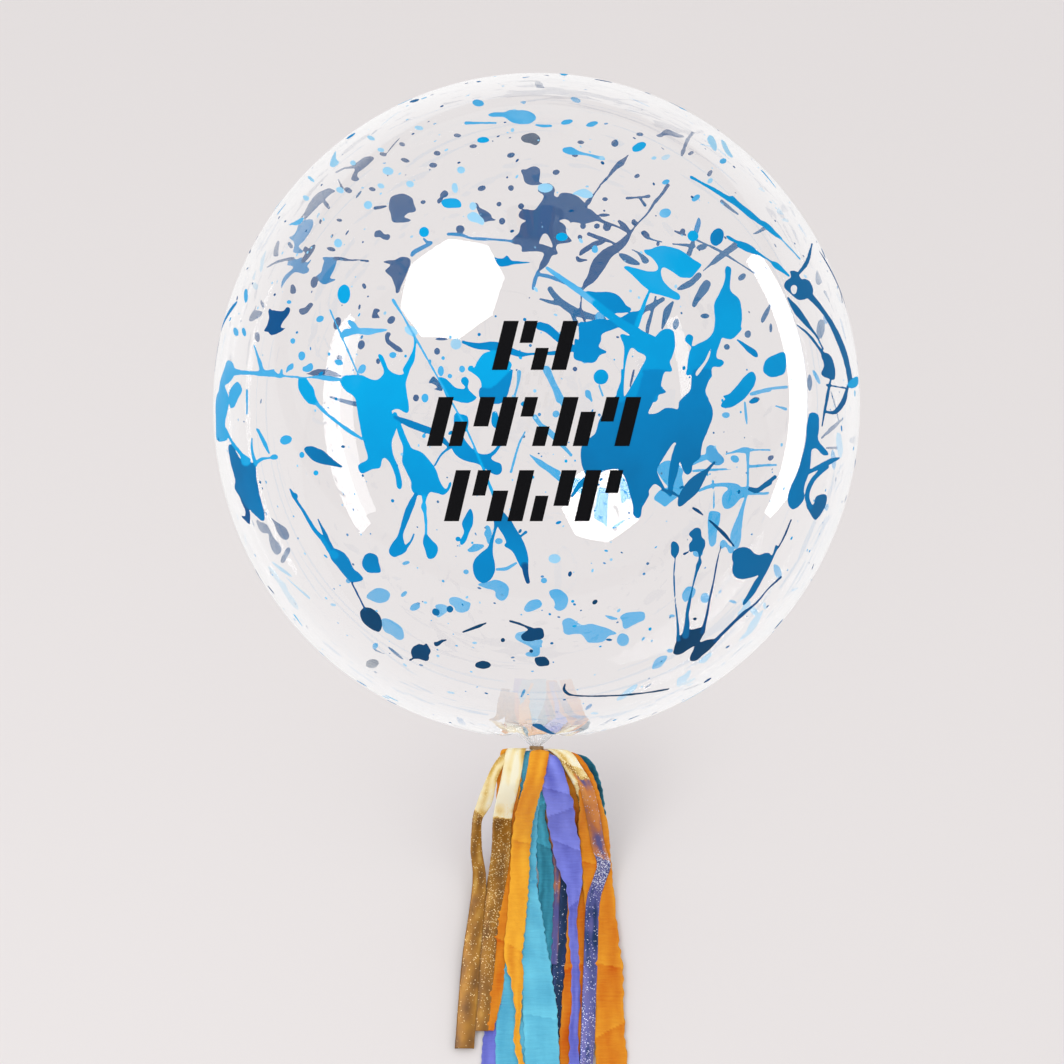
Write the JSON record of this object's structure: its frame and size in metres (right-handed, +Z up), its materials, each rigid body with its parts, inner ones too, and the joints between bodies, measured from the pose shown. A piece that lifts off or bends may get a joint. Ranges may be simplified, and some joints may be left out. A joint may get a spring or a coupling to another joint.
{
  "type": "bubble balloon",
  "caption": "Clear round film balloon with blue paint splashes, lying on its side, with a tassel of crepe paper and foil strips tied to its gathered neck.",
  "frame": {"origin": "middle of the balloon's flat resting spot, on the floor", "axes": "+Z up; the neck and the tassel point towards -Y and down, and the balloon's front faces up and towards -Y; +X to the right as seen from the front"},
  "size_m": [0.6, 0.9093, 0.6003],
  "materials": {
    "clear_film": "clear stretched film, glossy",
    "tie_thread": "matt thread",
    "orange_crepe": "crepe paper, matt and finely wrinkled",
    "sky_crepe": "crepe paper, matt and finely wrinkled",
    "teal_crepe": "crepe paper, matt and finely wrinkled",
    "violet_crepe": "crepe paper, matt and finely wrinkled",
    "gold_foil": "gold foil with glitter",
    "night_foil": "dark iridescent foil with glitter"
  },
  "bodies": {
    "root": {"balloon_envelope": "clear_film", "neck_tie": "tie_thread", "violet_strip_back": "violet_crepe", "violet_strip_front": "violet_crepe", "sky_strip_back": "sky_crepe", "sky_strip_front": "sky_crepe", "teal_strip_right": "teal_crepe", "teal_strip_front": "teal_crepe", "orange_strip_inner": "orange_crepe", "orange_strip_outer": "orange_crepe", "orange_strip_left": "orange_crepe", "orange_strip_front": "orange_crepe", "gold_ribbon_left": "gold_foil", "gold_ribbon_front": "gold_foil", "gold_ribbon_right": "gold_foil", "navy_ribbon": "night_foil", "mauve_ribbon": "night_foil", "purple_ribbon": "night_foil"}
  },
  "joints": []
}
